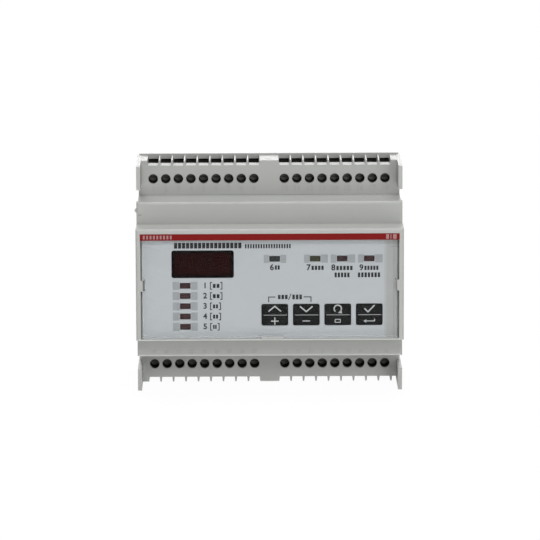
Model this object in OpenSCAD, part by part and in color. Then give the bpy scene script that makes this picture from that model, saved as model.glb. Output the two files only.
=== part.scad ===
// Insulation monitoring device in a six-module case for a 35 mm rail.
// X runs across the front to the right, Y towards the rail and Z up.
// The origin is the centre of the face that seats on the rail.

/* [Case] */
// Height of the case
body_h = 92.2; // [91:0.1:100]
// Height of the raised front
front_h = 45; // [44:0.5:50]
// Height of each terminal row
terminal_h = 14.8; // [14.6:0.1:16]
// Distance from the rail to the front
front_d = 53; // [52:0.5:65]
// Distance from the rail to the shoulders
shoulder_d = 40.5; // [38:0.5:42]
// Distance from the rail to the terminal faces
terminal_d = 23; // [22.5:0.1:25]
// Distance from the rail to the wall behind the wire openings
wall_d = 9.6; // [9.4:0.1:10.5]
// Distance from the rail to the tips of the ears
ear_d = 39.5; // [30:0.5:40.5]
// Depth of the case behind the rail face
back_d = 5; // [4.8:0.1:7]
// How far the back of the case stands past the terminal covers
back_step = 0.8; // [0.4:0.1:1.2]
// How far the case narrows towards its back
back_drop = 2.7; // [2:0.1:3]
// Wall of the housing and of the base
wall = 2; // [1.8:0.1:2.4]
// Wall of the base behind the terminals
back_wall = 3.5; // [3.3:0.1:3.8]
// Height of each upper ear
ear_h = 9.6; // [7:0.1:11]
// Height of each lower ear
lower_ear_h = 8.8; // [7:0.1:11]
// Thickness of each ear
ear_t = 1.6; // [1.2:0.1:2]
// How far the ears stand out from the base
ear_step = 0.6; // [0.3:0.1:1]
// How far the front stands out from the base at each side
side_step = 0.75; // [0.3:0.05:1]
// How far the front stands out from the shoulders at each side
shoulder_step = 0.15; // [0:0.05:0.3]
// Depth of the wide band of the shoulders
shoulder_band = 3.4; // [2.4:0.1:6]
// Radius of the outer edges of the housing
edge_r = 0.9; // [0.3:0.1:1.4]

/* [Terminals] */
// Terminals in each block
ways = 9; // [9:1:12]
// Distance between neighbouring terminals
pitch = 5.05; // [4.9:0.05:5.5]
// Gap between the two blocks of a row
centre_gap = 7.15; // [6:0.05:14]
// Gap between the outer terminal and the side wall
end_gap = 1.3; // [1.2:0.05:4]
// Thickness of the fins between the wire openings
fin_t = 1; // [0.8:0.1:1.3]
// Distance of the screws from the outer edge of the covers
screw_inset = 7.45; // [7.2:0.05:7.8]
// Radius of the screw openings in the covers
screw_hole_r = 1.95; // [1.7:0.05:2]
// Radius of the terminal screw heads
screw_head_r = 1.6; // [1.4:0.05:1.65]
// Depth of the screw heads behind the covers
screw_depth = 5.6; // [4:0.1:6]
// Thickness of the terminal covers
cover_wall = 1.5; // [1.2:0.1:1.8]
// Depth of the lip in front of the wire openings
lip_d = 6.6; // [4:0.2:8]
// How far the fins stand past the lip
fin_step = 2; // [1.6:0.1:2.4]

/* [Rail] */
// Height of the rail
rail_h = 35; // [34.8:0.1:35.2]
// Play between the rail and the upper end of its channel
rail_play = 0.2; // [0.1:0.05:0.5]
// How far the hook and the clips reach over the rail
hook_reach = 1.8; // [1.2:0.1:2.2]
// Distance from the rail face to the hook
hook_gap = 1.4; // [1.2:0.1:1.6]
// Height of the raised seat for the rail
seat_h = 30; // [24:1:31]
// Width of each rail clip
clip_w = 18; // [12:1:22]
// Distance of each rail clip from the middle
clip_x = 26; // [18:1:34]
// Thickness of the rail clips
clip_t = 1.9; // [1.6:0.1:2]
// Travel of the rail clips
clip_travel = 3; // [2.5:0.1:3.4]

/* [Front] */
// Width of the rim at the sides of the raised front
rim_side = 1.85; // [1.7:0.05:1.9]
// Height of the rim above the clear cover
rim_top = 4.5; // [4:0.1:5]
// Height of the rim below the clear cover
rim_low = 0.65; // [0.6:0.05:1.2]
// Depth from the rim to the printed film
film_depth = 3; // [3:0.1:4]
// Thickness of the printed film
film_t = 0.25; // [0.15:0.05:0.4]
// Thickness of the panel
panel_t = 1.65; // [1.4:0.05:2]
// Thickness of the clear cover
lid_t = 1.5; // [1.2:0.1:1.6]
// Gap between the clear cover and the rim at each side
lid_gap = 0.5; // [0.2:0.05:0.6]
// Gap between the clear cover and the rim below it
lid_foot_gap = 0.5; // [0.15:0.05:0.6]
// Radius of the hinge knuckles of the clear cover
bead_r = 1.3; // [1.2:0.05:1.35]
// Radius of the hinge pins of the clear cover
pin_r = 0.7; // [0.5:0.05:0.8]
// Height of the red band
band_h = 2.6; // [1:0.1:3.4]
// Width of the display window
display_w = 24.5; // [16:0.5:26]
// Height of the display window
display_h = 10.8; // [8:0.1:11.5]
// Distance of the display window from the left end of the panel
display_in = 12.35; // [11:0.05:13]
// Distance of the middle of the display window from the upper end of the panel
display_down = 10.1; // [9:0.1:10.4]
// Width of each key
key_w = 10.5; // [8:0.1:11]
// Height of each key
key_h = 8.6; // [7:0.1:9]
// Distance between neighbouring keys
key_pitch = 12.5; // [12.2:0.1:13]
// Distance of the last key from the right end of the panel
key_in = 6.55; // [6.2:0.05:8]
// Travel of the keys
key_travel = 0.5; // [0.3:0.05:0.6]
// Width of each lamp
lamp_w = 4.1; // [3:0.1:4.5]
// Height of each lamp
lamp_h = 2.2; // [1.6:0.1:2.4]
// Distance of the middle of the lamp column from the left end of the panel
lamp_in = 17.65; // [16:0.05:19]

/* [Boards] */
// Thickness of the circuit boards
board_t = 1.6; // [1.2:0.1:1.8]
// Distance from the rail face to the front of the main board
board_d = 7; // [6.8:0.1:7.2]
// Length of the panel posts that carry the front board
post_h = 5.1; // [5:0.1:6]
// Radius of the board screws
board_screw_r = 1.1; // [0.9:0.05:1.3]
// Height of the board sockets
socket_h = 8; // [6:0.5:9]

/* [Hidden] */
$fn = 40;
cut = 1;            // how far a cut runs past the face that it opens
fit = 0.1;          // play between pieces that drop into each other
run = 0.05;         // radial play of what turns or slides
seam = 0.03;        // gap at the ends of the terminal covers
grid = 2.54;        // distance between the pins of boards and lamps
arc_steps = 4;      // flats in the quarter of a rounded edge

case_grey = [0.66, 0.67, 0.65];
film_grey = [0.71, 0.73, 0.74];
board_green = [0.12, 0.35, 0.2];
dark = [0.12, 0.12, 0.13];
metal = [0.75, 0.75, 0.73];

block_w = ways * pitch;
block_x = (centre_gap + block_w) / 2;
base_half = centre_gap / 2 + block_w + end_gap + wall;
front_half = base_half + side_step;
inner_half = base_half - wall;
ear_inner = base_half + ear_step - ear_t;
shoulder_h = body_h - 2 * terminal_h;
cover_top = body_h / 2 - back_step;
lip_z = cover_top - fin_step;
rib_top = back_z(-board_d) - cover_wall - fit / 2; // upper edge of the rib of each terminal block
mouth_z = rib_top - 0.15;       // upper edge of the wire openings in the wall
row_z = cover_top - screw_inset;
shell_back = terminal_d - cover_wall;
channel_top = rail_h / 2 + rail_play;
channel_bottom = -rail_h / 2 - 1;
floor_y = -wall - 0.4;          // inner face of the wall behind the rail seat
back_inner = back_d - back_wall; // inner face of the wall behind the terminals
opening_half = front_half - rim_side;
opening_top = front_h / 2 - rim_top;
opening_low = -front_h / 2 + rim_low;
opening_mid = (opening_top + opening_low) / 2;
opening_h = opening_top - opening_low;
film_y = -front_d + film_depth;
panel_y = film_y + film_t;
ledge_y = panel_y + panel_t;
ledge_w = 2;
panel_half = opening_half - lid_gap - fit;
front_board_y = ledge_y + post_h;
board_half = opening_half - ledge_w - 0.5;
band_t = 0.15;
lid_top = opening_top - 0.4;
lid_low = opening_low + lid_foot_gap;
lid_half = opening_half - lid_gap;
lid_back = film_y - 0.35;       // rear edge of the skirts of the clear cover
knuckle_w = 3.6;
knuckle_end = opening_half - 0.12;
hinge_y = -front_d + bead_r;
hinge_z = lid_top - bead_r;
tab_z = [-2.45, 1.85];
tab_reach = 0.85;
tab_room = 1.65;
catch_x = 0.9;
catch_w = 8.6;
catch_h = lid_foot_gap + 0.3;
display_x = -opening_half + display_in + display_w / 2;
display_z = opening_top - display_down;
key_z = opening_low + 9.3;
column_x = -opening_half + lamp_in;
column_z = display_z - display_h / 2 - 3.2;
lamp_pitch = (column_z - opening_low - 4.59) / 4;
status_z = opening_top - 8;
status_pitch = 10.73;
status_x = 17.95;
post_r = 2;
post_x = opening_half - ledge_w - post_r - 0.1;
post_z = [opening_low + 4.9, opening_top - 4.4];
key_stem_r = 1.75;
switch_h = 3.4;
switch_w = 6;
plunger_h = key_travel + 0.2;
plunger_y = front_board_y - switch_h - plunger_h;
screw_post_x = inner_half - 5;
screw_post_z = shoulder_h / 2 - 7.3;
part_row = shoulder_h / 2 - 5.3; // middle of the rows of parts beside the terminals
link_x = 8;
link_half = 12;
clip_y = back_d - 0.2 - clip_t;
wing_w = 1;
wing_t = clip_t / 2;
clip_end = body_h / 2 - back_drop - 0.6;
snap_z = 14;
snap_w = 8;
snap_y = [-16.2, -13.8];
head_y = -terminal_d + screw_depth;
head_h = 1.4;
cage_w = 3.6;
cage_h = 4.6;
cage_front = head_y + head_h + 0.2;
cage_back = -board_d - 2.6;
shank_r = 1.15;

// Box between two corners
module box(low, high) {
    translate(low) cube(high - low);
}

// Outline in Y and Z, extruded along X
module along_x(x0, x1) {
    translate([x0, 0, 0]) rotate([90, 0, 90]) linear_extrude(x1 - x0) children();
}

// Outline in X and Z, extruded along Y
module along_y(y0, y1) {
    translate([0, y1, 0]) rotate([90, 0, 0]) linear_extrude(y1 - y0) children();
}

// Outline in X and Y, extruded along Z
module along_z(z0, z1) {
    translate([0, 0, z0]) linear_extrude(z1 - z0) children();
}

// Round rod along Y
module rod_y(x, z, r, y0, y1) {
    translate([x, y1, z]) rotate([90, 0, 0]) cylinder(h = y1 - y0, r = r);
}

// Rectangle about a centre with round corners
module round_rect(x, z, w, h, r) {
    translate([x, z]) {
        square([w - 2 * r, h], center = true);
        square([w, h - 2 * r], center = true);
        for (i = [-1, 1], j = [-1, 1])
            translate([i * (w / 2 - r), j * (h / 2 - r)]) circle(r);
    }
}

// Points of one corner [a, b, r], rounded by its radius r
function corner(before, here, after) =
    here[2] == 0 ? [[here[0], here[1]]] :
    let (p = [here[0], here[1]])
    let (u = [before[0], before[1]] - p)
    let (v = [after[0], after[1]] - p)
    let (un = u / norm(u))
    let (vn = v / norm(v))
    let (half = acos(un * vn) / 2)
    let (reach = here[2] / tan(half))
    let (centre = p + (un + vn) / norm(un + vn) * here[2] / sin(half))
    let (from = p + un * reach - centre)
    let (to = p + vn * reach - centre)
    let (a0 = atan2(from[1], from[0]))
    let (turn = atan2(from[0] * to[1] - from[1] * to[0], from * to))
    [for (i = [0:arc_steps])
        let (a = a0 + turn * i / arc_steps)
        centre + here[2] * [cos(a), sin(a)]];

// Outline through corners [a, b, r]
module outline(pts) {
    n = len(pts);
    polygon([for (i = [0:n - 1]) each corner(pts[(i + n - 1) % n], pts[i], pts[(i + 1) % n])]);
}

// Upper half of an outline, completed by its mirror image
function both_halves(pts) =
    concat(pts, [for (i = [len(pts) - 1:-1:0]) [pts[i][0], -pts[i][1], pts[i][2]]]);

// Step of the housing: a block with rounded front edges, open outline at the back
module step_block(half_w, half_h, y0, y1) {
    intersection() {
        along_x(-half_w, half_w) outline(both_halves([[y1, half_h, 0], [y0, half_h, edge_r]]));
        along_z(-half_h, half_h) outline([[-half_w, y1, 0], [-half_w, y0, edge_r],
            [half_w, y0, edge_r], [half_w, y1, 0]]);
    }
}

// Both sides of the device
module each_side() {
    children();
    mirror([1, 0, 0]) children();
}

// Upper half and its mirror image below
module upper_or_lower(side) {
    if (side > 0) children();
    else mirror([0, 0, 1]) children();
}

// Every terminal of one row, left and right
module each_way(side) {
    for (s = [-1, 1], i = [0:ways - 1])
        translate([s * block_x + (i - (ways - 1) / 2) * pitch, 0, side * row_z]) children();
}

// Space that the rail takes, with the hook at its upper edge
module channel_profile() {
    hook_z = channel_top - hook_reach;
    bevel = 1.2;
    relief = 0.4;
    polygon([[back_d + cut, hook_z + bevel], [back_d, hook_z + bevel], [back_d - bevel, hook_z],
        [hook_gap, hook_z], [hook_gap, channel_top], [-relief, channel_top], [-relief, seat_h / 2],
        [0, seat_h / 2], [0, -seat_h / 2], [-relief, -seat_h / 2], [-relief, channel_bottom],
        [back_d + cut, channel_bottom]]);
}

// Height of the sloping back of the case at a place along Y
function back_z(y) = body_h / 2 - back_drop * (y + wall_d) / (back_d + wall_d);

// Outer outline of the base, seen from the side
module base_profile() {
    step = shoulder_h / 2;
    outline(both_halves([[-shell_back, step, 0], [-terminal_d, step, 0], [-terminal_d, cover_top, 0.4],
        [-wall_d, cover_top, 0], [-wall_d, body_h / 2, 0.2], [back_d, back_z(back_d), 0.6]]));
}

// Hollow of the base, seen from the side
module base_hollow() {
    far = body_h;
    polygon([[-far, far], [back_inner, far], [back_inner, channel_top + wall],
        [floor_y, channel_top + wall], [floor_y, channel_bottom - wall],
        [back_inner, channel_bottom - wall], [back_inner, -far], [-far, -far]]);
}

// Outline of one terminal cover, seen from the side, with some play
module cover_profile(play) {
    front = -terminal_d + cover_wall + play;
    back = -wall_d + cover_wall + play;
    low = shoulder_h / 2 + (play > 0 ? 0 : 0.05);
    under = lip_z - cover_wall - play;
    outline([[-terminal_d, low, 0], [-terminal_d, cover_top, 0.3], [-wall_d, cover_top, 0],
        [-wall_d, body_h / 2, 0.2], [back_inner, back_z(back_inner), 0],
        [back_inner, back_z(back_inner) - cover_wall - play, 0], [back, back_z(back) - cover_wall - play, 0],
        [back, under, 0], [front, under, 0], [front, low, 0]]);
}

// Room in the side walls for the overlapping edges of one terminal cover
module cover_rebate() {
    along_x(-ear_inner, ear_inner) union() {
        cover_profile(fit);
        polygon([[-terminal_d - cut, shoulder_h / 2], [-terminal_d - cut, body_h / 2 + cut],
            [back_inner, body_h / 2 + cut], [back_inner, back_z(back_inner) - cut / 2],
            [-wall_d, cover_top - cut / 2], [-terminal_d + cut, cover_top - cut / 2],
            [-terminal_d + cut, shoulder_h / 2]]);
    }
}

// Rear base with the rail channel, the two side walls and the ears
module rear_base() {
    boss_r = 3;
    color(case_grey) difference() {
        union() {
            difference() {
                along_x(-base_half, base_half) base_profile();
                along_x(-inner_half, inner_half) base_hollow();
                for (side = [-1, 1]) upper_or_lower(side) cover_rebate();
            }
            each_side() {
                ear(ear_h);
                mirror([0, 0, 1]) ear(lower_ear_h);
                for (z = [-screw_post_z, screw_post_z])
                    rod_y(screw_post_x, z, boss_r, -board_d + board_t, back_inner + cut);
            }
            for (s = [-1, 1]) clip_housing(s * clip_x);
        }
        along_x(-base_half - cut, base_half + cut) channel_profile();
        for (s = [-1, 1]) clip_pocket(s * clip_x);
        each_side() for (z = [-screw_post_z, screw_post_z])
            rod_y(screw_post_x, z, board_screw_r + run, -board_d, -board_d + 7);
        each_side() for (z = [-snap_z, snap_z])
            box([inner_half - cut, snap_y[0] - 0.2, z - snap_w / 2 - 0.3],
                [base_half + cut, snap_y[1] + 0.4, z + snap_w / 2 + 0.3]);
    }
}

// Forward end of one side wall
module ear(height) {
    tip = cover_top + 0.2;
    along_x(ear_inner, ear_inner + ear_t)
        outline([[-ear_d, tip - height, 0.5], [-ear_d, tip, 0.4], [-wall_d, tip, 0],
            [-wall_d, tip - height, 0]]);
}

// Thicker wall inside the base where the nose of a clip travels
module clip_housing(x) {
    half = clip_w / 2 + wing_w + wall;
    box([x - half, floor_y, channel_bottom - wall - clip_travel - 1.5],
        [x + half, back_inner + cut, channel_bottom - wall + cut]);
}

// Guide cut for one rail clip
module clip_pocket(x) {
    nose_gap = 0.15;
    half = clip_w / 2 + 0.2;
    low = -body_h / 2 - cut;
    nose_low = channel_bottom - clip_travel - 1;
    box([x - half, clip_y - 0.1, low], [x + half, back_d + cut, channel_bottom + cut]);
    box([x - half - wing_w, clip_y - 0.1, low],
        [x + half + wing_w, clip_y + wing_t + 0.2, channel_bottom + cut]);
    box([x - half, hook_gap - nose_gap, nose_low], [x + half, back_d + cut, channel_bottom + cut]);
}

// Sliding clip that holds the lower edge of the rail
module rail_clip(x) {
    tip = -rail_h / 2 + hook_reach - 0.2;
    nose_top = channel_bottom - 0.6;
    slot_half = [3.5, 0.9];
    slot_z = -clip_end + 3.2;
    tongue_x = 6;
    gap_half = 0.6;
    color(dark) difference() {
        union() {
            along_x(x - clip_w / 2, x + clip_w / 2)
                polygon([[clip_y, -clip_end], [clip_y + clip_t, -clip_end], [clip_y + clip_t, tip - 2.2],
                    [hook_gap + 1, tip], [hook_gap, tip], [hook_gap, nose_top], [clip_y, nose_top]]);
            box([x - clip_w / 2 - wing_w, clip_y, -clip_end + 6],
                [x + clip_w / 2 + wing_w, clip_y + wing_t, nose_top - clip_travel - 1]);
        }
        box([x - slot_half[0], clip_y - cut, slot_z - slot_half[1]],
            [x + slot_half[0], back_d, slot_z + slot_half[1]]);
        for (s = [-1, 1])
            box([x + s * tongue_x - gap_half, clip_y - cut, -clip_end + 8],
                [x + s * tongue_x + gap_half, back_d, nose_top - 6]);
    }
}

// Stepped front housing: shoulders, raised front, rim and the ledge for the panel
module front_housing() {
    half_z = front_h / 2;
    side_z = shoulder_h / 2;
    deep = -shoulder_d + shoulder_band;
    color(case_grey) {
        difference() {
            union() {
                step_block(front_half, half_z, -front_d, -shoulder_d + cut);
                step_block(front_half - shoulder_step, side_z, -shoulder_d, deep);
                box([-base_half, deep - cut, -side_z], [base_half, -shell_back, side_z]);
                side_nub();
            }
            box([-opening_half, -front_d - cut, opening_low], [opening_half, ledge_y, opening_top]);
            box([-opening_half + ledge_w, -front_d, opening_low + ledge_w],
                [opening_half - ledge_w, -shoulder_d, opening_top - ledge_w]);
            box([-front_half + wall, ledge_y + ledge_w, -half_z + wall],
                [front_half - wall, -shoulder_d + wall + cut, half_z - wall]);
            box([-inner_half, -shoulder_d + wall, -side_z + wall],
                [inner_half, -shell_back + cut, side_z - wall]);
            box([-opening_half - 0.15, -front_d - cut, opening_top - cut],
                [opening_half + 0.15, -front_d + band_t, opening_top + band_h]);
            box([-front_half + 1, -shoulder_d - cut, side_z - 5.25],
                [-front_half + 2.2, -shoulder_d + 0.5, side_z - 4.95]);
            each_side() along_x(opening_half - cut, opening_half + rim_side - 0.6)
                translate([hinge_y, hinge_z]) circle(pin_r + run);
        }
        box([catch_x - catch_w / 2, -front_d + 0.25, opening_low - 0.5],
            [catch_x + catch_w / 2, film_y - 0.5, opening_low + catch_h]);
        each_side() {
            box([opening_half - tab_reach, -front_d, tab_z[0]], [opening_half + 0.5, film_y, tab_z[1]]);
            for (z = [-snap_z, snap_z]) snap_arm(z);
        }
    }
}

// Nub on the left side of the shoulders
module side_nub() {
    half = 0.9;
    translate([-front_half + shoulder_step, 0, shoulder_h / 2 - 3.5])
        along_y(-shoulder_d + 0.9, -shoulder_d + 2.8)
            polygon([[cut, -half], [0, -half], [-0.7, -half / 3], [-0.7, half / 3], [0, half], [cut, half]]);
}

// Arm that snaps the housing into a window of the base
module snap_arm(z) {
    out = inner_half - 0.2;
    root = -shell_back - 8;
    along_z(z - snap_w / 2, z + snap_w / 2)
        polygon([[inner_half + 0.5, root - 2], [inner_half + 0.5, -shell_back - 0.2],
            [out, -shell_back - 0.2], [out, snap_y[0]], [out + 1.1, snap_y[0]], [out, snap_y[1]],
            [out - 1.8, snap_y[1]], [out - 1.8, root]]);
}

// Cover of one terminal row: screw openings in front, a grid of wire openings outside
module terminal_cover(side) {
    open_half = (pitch - fin_t) / 2;
    slant = 0.35;
    slit = [-terminal_d + 2.9, -terminal_d + 3.5];
    last_fin = block_x + ways / 2 * pitch + fin_t / 2;
    color(case_grey) upper_or_lower(side) difference() {
        along_x(-ear_inner + seam, ear_inner - seam) cover_profile(0);
        each_way(0) {
            box([-open_half, -terminal_d + lip_d, lip_z - 2 * cover_wall],
                [open_half, -wall_d + 2 * cover_wall, lip_z]);
            box([-open_half, -wall_d - cut, lip_z - cut],
                [open_half, -wall_d + 2 * cover_wall, mouth_z]);
            along_y(-terminal_d - cut, -wall_d)
                polygon([[-open_half, lip_z], [-open_half - slant, cover_top + cut],
                    [open_half + slant, cover_top + cut], [open_half, lip_z]]);
        }
        if (side < 0) along_y(-terminal_d - cut, -wall_d)
            polygon([[last_fin, lip_z], [last_fin - slant, cover_top + cut],
                [ear_inner + cut, cover_top + cut], [ear_inner + cut, lip_z]]);
        each_way(1) rod_y(0, 0, screw_hole_r, -terminal_d - cut, -terminal_d + 2 * cover_wall);
        box([-1.5, slit[0], cover_top - 0.6], [0.9, slit[1], cover_top + cut]);
    }
}

// Terminal block with a screw shaft and a wire funnel for each way, and a rib behind the wire openings
module terminal_block(side, s) {
    front = -terminal_d + cover_wall + 0.15;
    outer = lip_z - cover_wall - 0.15;
    inner = shoulder_h / 2 + 0.9;
    rib_front = -wall_d + cover_wall + fit;
    x = s * block_x;
    color(dark) upper_or_lower(side) difference() {
        along_x(x - block_w / 2 + 0.05, x + block_w / 2 - 0.05)
            outline([[front, inner, 0.4], [front, outer, 0.4], [rib_front, outer, 0], [rib_front, rib_top, 0],
                [-board_d, rib_top, 0], [-board_d, inner - 1.1, 0], [-board_d - 3.5, inner - 1.1, 0.4],
                [-board_d - 5, inner, 0]]);
        for (i = [0:ways - 1]) translate([x + (i - (ways - 1) / 2) * pitch, 0, 0]) {
            rod_y(0, row_z, screw_head_r + 0.2, front - cut, cage_front + cut);
            box([-cage_w / 2 - fit, cage_front - 0.1, row_z - cage_h / 2 - fit],
                [cage_w / 2 + fit, cage_back + 0.3, row_z + cage_h / 2 + fit]);
            box([-1.6, cage_front + 2.4, row_z], [1.6, cage_back - 0.6, outer + cut]);
            box([-0.5, cage_back - 1.1, row_z - 1.2], [0.5, -board_d + cut, row_z + 1.2]);
        }
    }
}

// Clamp cages of one row, each open towards its wire
module clamp_cages(side) {
    color(metal) each_way(side) difference() {
        box([-cage_w / 2, cage_front, -cage_h / 2], [cage_w / 2, cage_back, cage_h / 2]);
        box([-cage_w / 2 + 0.5, cage_front + 2, -cage_h], [cage_w / 2 - 0.5, cage_back - 0.6, cage_h]);
        rod_y(0, 0, shank_r + run, cage_front - cut, cage_front + 2 + cut);
    }
}

// Screws of one row, each with a slot
module terminal_screws(side) {
    color(metal) each_way(side) difference() {
        union() {
            rod_y(0, 0, screw_head_r, head_y, head_y + head_h);
            rod_y(0, 0, shank_r, head_y, cage_front + 3.2);
        }
        box([-screw_head_r - cut, head_y - cut, -0.25], [screw_head_r + cut, head_y + 0.8, 0.25]);
    }
}

// Solder pins of one row, from the cages through the main board
module solder_pins(side) {
    color(metal) each_way(side) box([-0.45, cage_back, -0.6], [0.45, -board_d + board_t + 1.8, 0.6]);
}

// Outline of the panel and its film, with room for the tabs of the rim
module panel_shape() {
    difference() {
        round_rect(0, opening_mid, 2 * panel_half, opening_h - 2 * fit, 0.6);
        each_side() translate([opening_half - tab_room, tab_z[0] - 0.4])
            square([tab_room + cut, tab_z[1] - tab_z[0] + 0.6]);
    }
}

// Panel behind the printed film, with posts for the front board
module front_panel() {
    color(film_grey) difference() {
        union() {
            along_y(panel_y, ledge_y) panel_shape();
            each_side() for (z = post_z) rod_y(post_x, z, post_r, panel_y + cut, front_board_y);
            each_side() for (z = [-8, 8]) panel_hook(z);
        }
        panel_openings(fit);
        each_side() for (z = post_z)
            rod_y(post_x, z, board_screw_r + run, ledge_y, front_board_y + cut);
    }
}

// Hook that snaps the panel behind the ledge
module panel_hook(z) {
    inner = opening_half - ledge_w - 0.15;
    back = ledge_y + ledge_w;
    along_z(z - 2.5, z + 2.5) polygon([[inner - 1.2, panel_y + cut], [inner, panel_y + cut],
        [inner, back + 0.1], [inner + 0.8, back + 0.1], [inner, back + 1.6], [inner - 1.2, back + 1.6]]);
}

// Openings for the display, the keys and the lamps, with some play
module panel_openings(play) {
    y0 = film_y - cut;
    y1 = ledge_y + cut;
    along_y(y0, y1) round_rect(display_x, display_z, display_w + 2 * play, display_h + 2 * play, 0.8);
    for (i = [0:3])
        along_y(y0, y1) round_rect(key_x(i), key_z, key_w + 2 * play, key_h + 2 * play, 0.8);
    for (p = lamp_places) along_y(y0, y1) translate(p)
        square([lamp_w + 2 * play, lamp_h + 2 * play], center = true);
}

function key_x(i) = opening_half - key_in - key_w / 2 - (3 - i) * key_pitch;
unit_places = [for (i = [0:4]) [column_x, column_z - i * lamp_pitch]];
status_places = [[key_x(0), status_z], [status_x, status_z], [status_x + status_pitch, status_z],
    [status_x + 2 * status_pitch, status_z]];
lamp_places = concat(unit_places, status_places);

// Printed film on the panel
module printed_film() {
    color(film_grey) difference() {
        along_y(film_y, panel_y) panel_shape();
        panel_openings(fit);
    }
}

// Red band in a shallow recess of the rim
module red_band() {
    color([0.6, 0.1, 0.1])
        box([-opening_half - 0.1, -front_d, opening_top],
            [opening_half + 0.1, -front_d + band_t, opening_top + band_h - 0.05]);
}

// Tinted window of the display
module display_window() {
    color([0.2, 0.06, 0.06])
        along_y(film_y, ledge_y) round_rect(display_x, display_z, display_w, display_h, 0.8);
}

// Digit module behind the window
module display_module() {
    w = display_w + 3;
    h = display_h + 3;
    color(dark) union() {
        box([display_x - w / 2, ledge_y + 0.1, display_z - h / 2],
            [display_x + w / 2, front_board_y, display_z + h / 2]);
        for (i = [-4:4], s = [-1, 1])
            rod_y(display_x + i * grid, display_z + s * h * 0.4, 0.3,
                front_board_y - cut, front_board_y + board_t + 1);
    }
}

// Clear cover with its knuckles, pins and skirts, cut out for the tabs and the catch
module clear_cover() {
    skirt = 1.1;
    knuckle_low = hinge_z - bead_r;
    skirt_y = -front_d + lid_t / 2;
    color([0.8, 0.85, 0.88, 0.3]) difference() {
        union() {
            intersection() {
                along_x(-knuckle_end, knuckle_end)
                    outline([[-front_d, lid_low, 0], [-front_d, lid_top, 0.6],
                        [-front_d + lid_t, lid_top, 0], [-front_d + lid_t, lid_low, 0]]);
                along_y(-front_d, -front_d + lid_t)
                    outline([[-lid_half, lid_low, 0.4], [lid_half, lid_low, 0.4],
                        [lid_half, knuckle_low, 0], [knuckle_end, knuckle_low, 0],
                        [knuckle_end, lid_top, 1.2], [-knuckle_end, lid_top, 1.2],
                        [-knuckle_end, knuckle_low, 0], [-lid_half, knuckle_low, 0]]);
            }
            each_side() {
                along_x(knuckle_end - knuckle_w, knuckle_end - 0.6)
                    translate([hinge_y, hinge_z]) circle(bead_r);
                along_x(knuckle_end - cut, opening_half + 0.9)
                    translate([hinge_y, hinge_z]) circle(pin_r);
                box([lid_half - skirt, skirt_y, lid_low + 0.5], [lid_half, lid_back, hinge_z - 3]);
            }
            box([-lid_half + 0.5, skirt_y, lid_low], [lid_half - 0.5, lid_back, lid_low + skirt]);
        }
        each_side() box([opening_half - tab_room, -front_d - cut, tab_z[0] - 0.4],
            [opening_half, 0, tab_z[1] + 0.2]);
        box([catch_x - catch_w / 2 - 1.5, -front_d - cut, lid_low - cut],
            [catch_x + catch_w / 2 + 0.15, 0, opening_low + catch_h + 0.15]);
    }
}

// Key cap with a flange behind the panel and a stem to its switch
module key(i) {
    color(dark) union() {
        along_y(film_y - 0.1, ledge_y + 0.4) round_rect(key_x(i), key_z, key_w, key_h, 0.75);
        along_y(ledge_y + 0.1, ledge_y + 0.9) round_rect(key_x(i), key_z, key_w, key_h + 1.4, 0.75);
        rod_y(key_x(i), key_z, key_stem_r, ledge_y + 0.5, plunger_y);
    }
}

// Plunger of one key switch
module plunger(i) {
    color([0.2, 0.2, 0.2]) rod_y(key_x(i), key_z, key_stem_r, plunger_y, front_board_y - switch_h + 1.2);
}

// Switch bodies on the front board, each with a bore for its plunger
module key_switches() {
    color(dark) for (i = [0:3]) difference() {
        box([key_x(i) - switch_w / 2, front_board_y - switch_h, key_z - switch_w / 2],
            [key_x(i) + switch_w / 2, front_board_y, key_z + switch_w / 2]);
        rod_y(key_x(i), key_z, key_stem_r + run, front_board_y - switch_h - cut, front_board_y - 0.6);
    }
}

// Rectangular lamp with a foot and two wires into the front board
module lamp(p) {
    foot = ledge_y + 1.4;
    rim = [0.4, 0.3];
    translate([p[0], 0, p[1]]) {
        box([-lamp_w / 2, film_y, -lamp_h / 2], [lamp_w / 2, foot, lamp_h / 2]);
        box([-lamp_w / 2 - rim[0], ledge_y + 0.2, -lamp_h / 2 - rim[1]],
            [lamp_w / 2 + rim[0], foot, lamp_h / 2 + rim[1]]);
        for (s = [-1, 1])
            rod_y(s * grid / 2, 0, 0.28, foot - 0.5, front_board_y + board_t + 1);
    }
}

module unit_lamps() {
    color([0.45, 0.15, 0.15]) for (p = unit_places) lamp(p);
}

module status_lamp(i, shade) {
    color(shade) lamp(status_places[i]);
}

// Board behind the panel
module front_board() {
    edge = ledge_w + 0.4;
    y0 = front_board_y - cut;
    y1 = front_board_y + board_t + cut;
    color(board_green) difference() {
        along_y(front_board_y, front_board_y + board_t)
            round_rect(0, opening_mid, 2 * board_half, opening_h - 2 * edge, 1);
        each_side() for (z = post_z) rod_y(post_x, z, board_screw_r + 0.3, y0, y1);
        for (p = lamp_places, s = [-1, 1]) rod_y(p[0] + s * grid / 2, p[1], 0.33, y0, y1);
        for (i = [-4:4], s = [-1, 1])
            rod_y(display_x + i * grid, display_z + s * (display_h + 3) * 0.4, 0.35, y0, y1);
    }
}

// Pan-head screw along Y, whose head lies towards the front for side below zero, else towards the rail
module board_screw(x, z, seat_y, side) {
    length = 5;
    cap_r = 2.2;
    cap_h = 1.3;
    translate([x, seat_y, z]) front_or_back(side) difference() {
        union() {
            rod_y(0, 0, cap_r, -cap_h, 0);
            rod_y(0, 0, board_screw_r, -cap_h, length);
        }
        for (a = [0, 90]) rotate([0, a, 0])
            box([-1.3, -cap_h - cut, -0.2], [1.3, -cap_h + 0.8, 0.2]);
    }
}

// Original for side below zero, else its mirror image in Y
module front_or_back(side) {
    if (side < 0) children();
    else mirror([0, 1, 0]) children();
}

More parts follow.
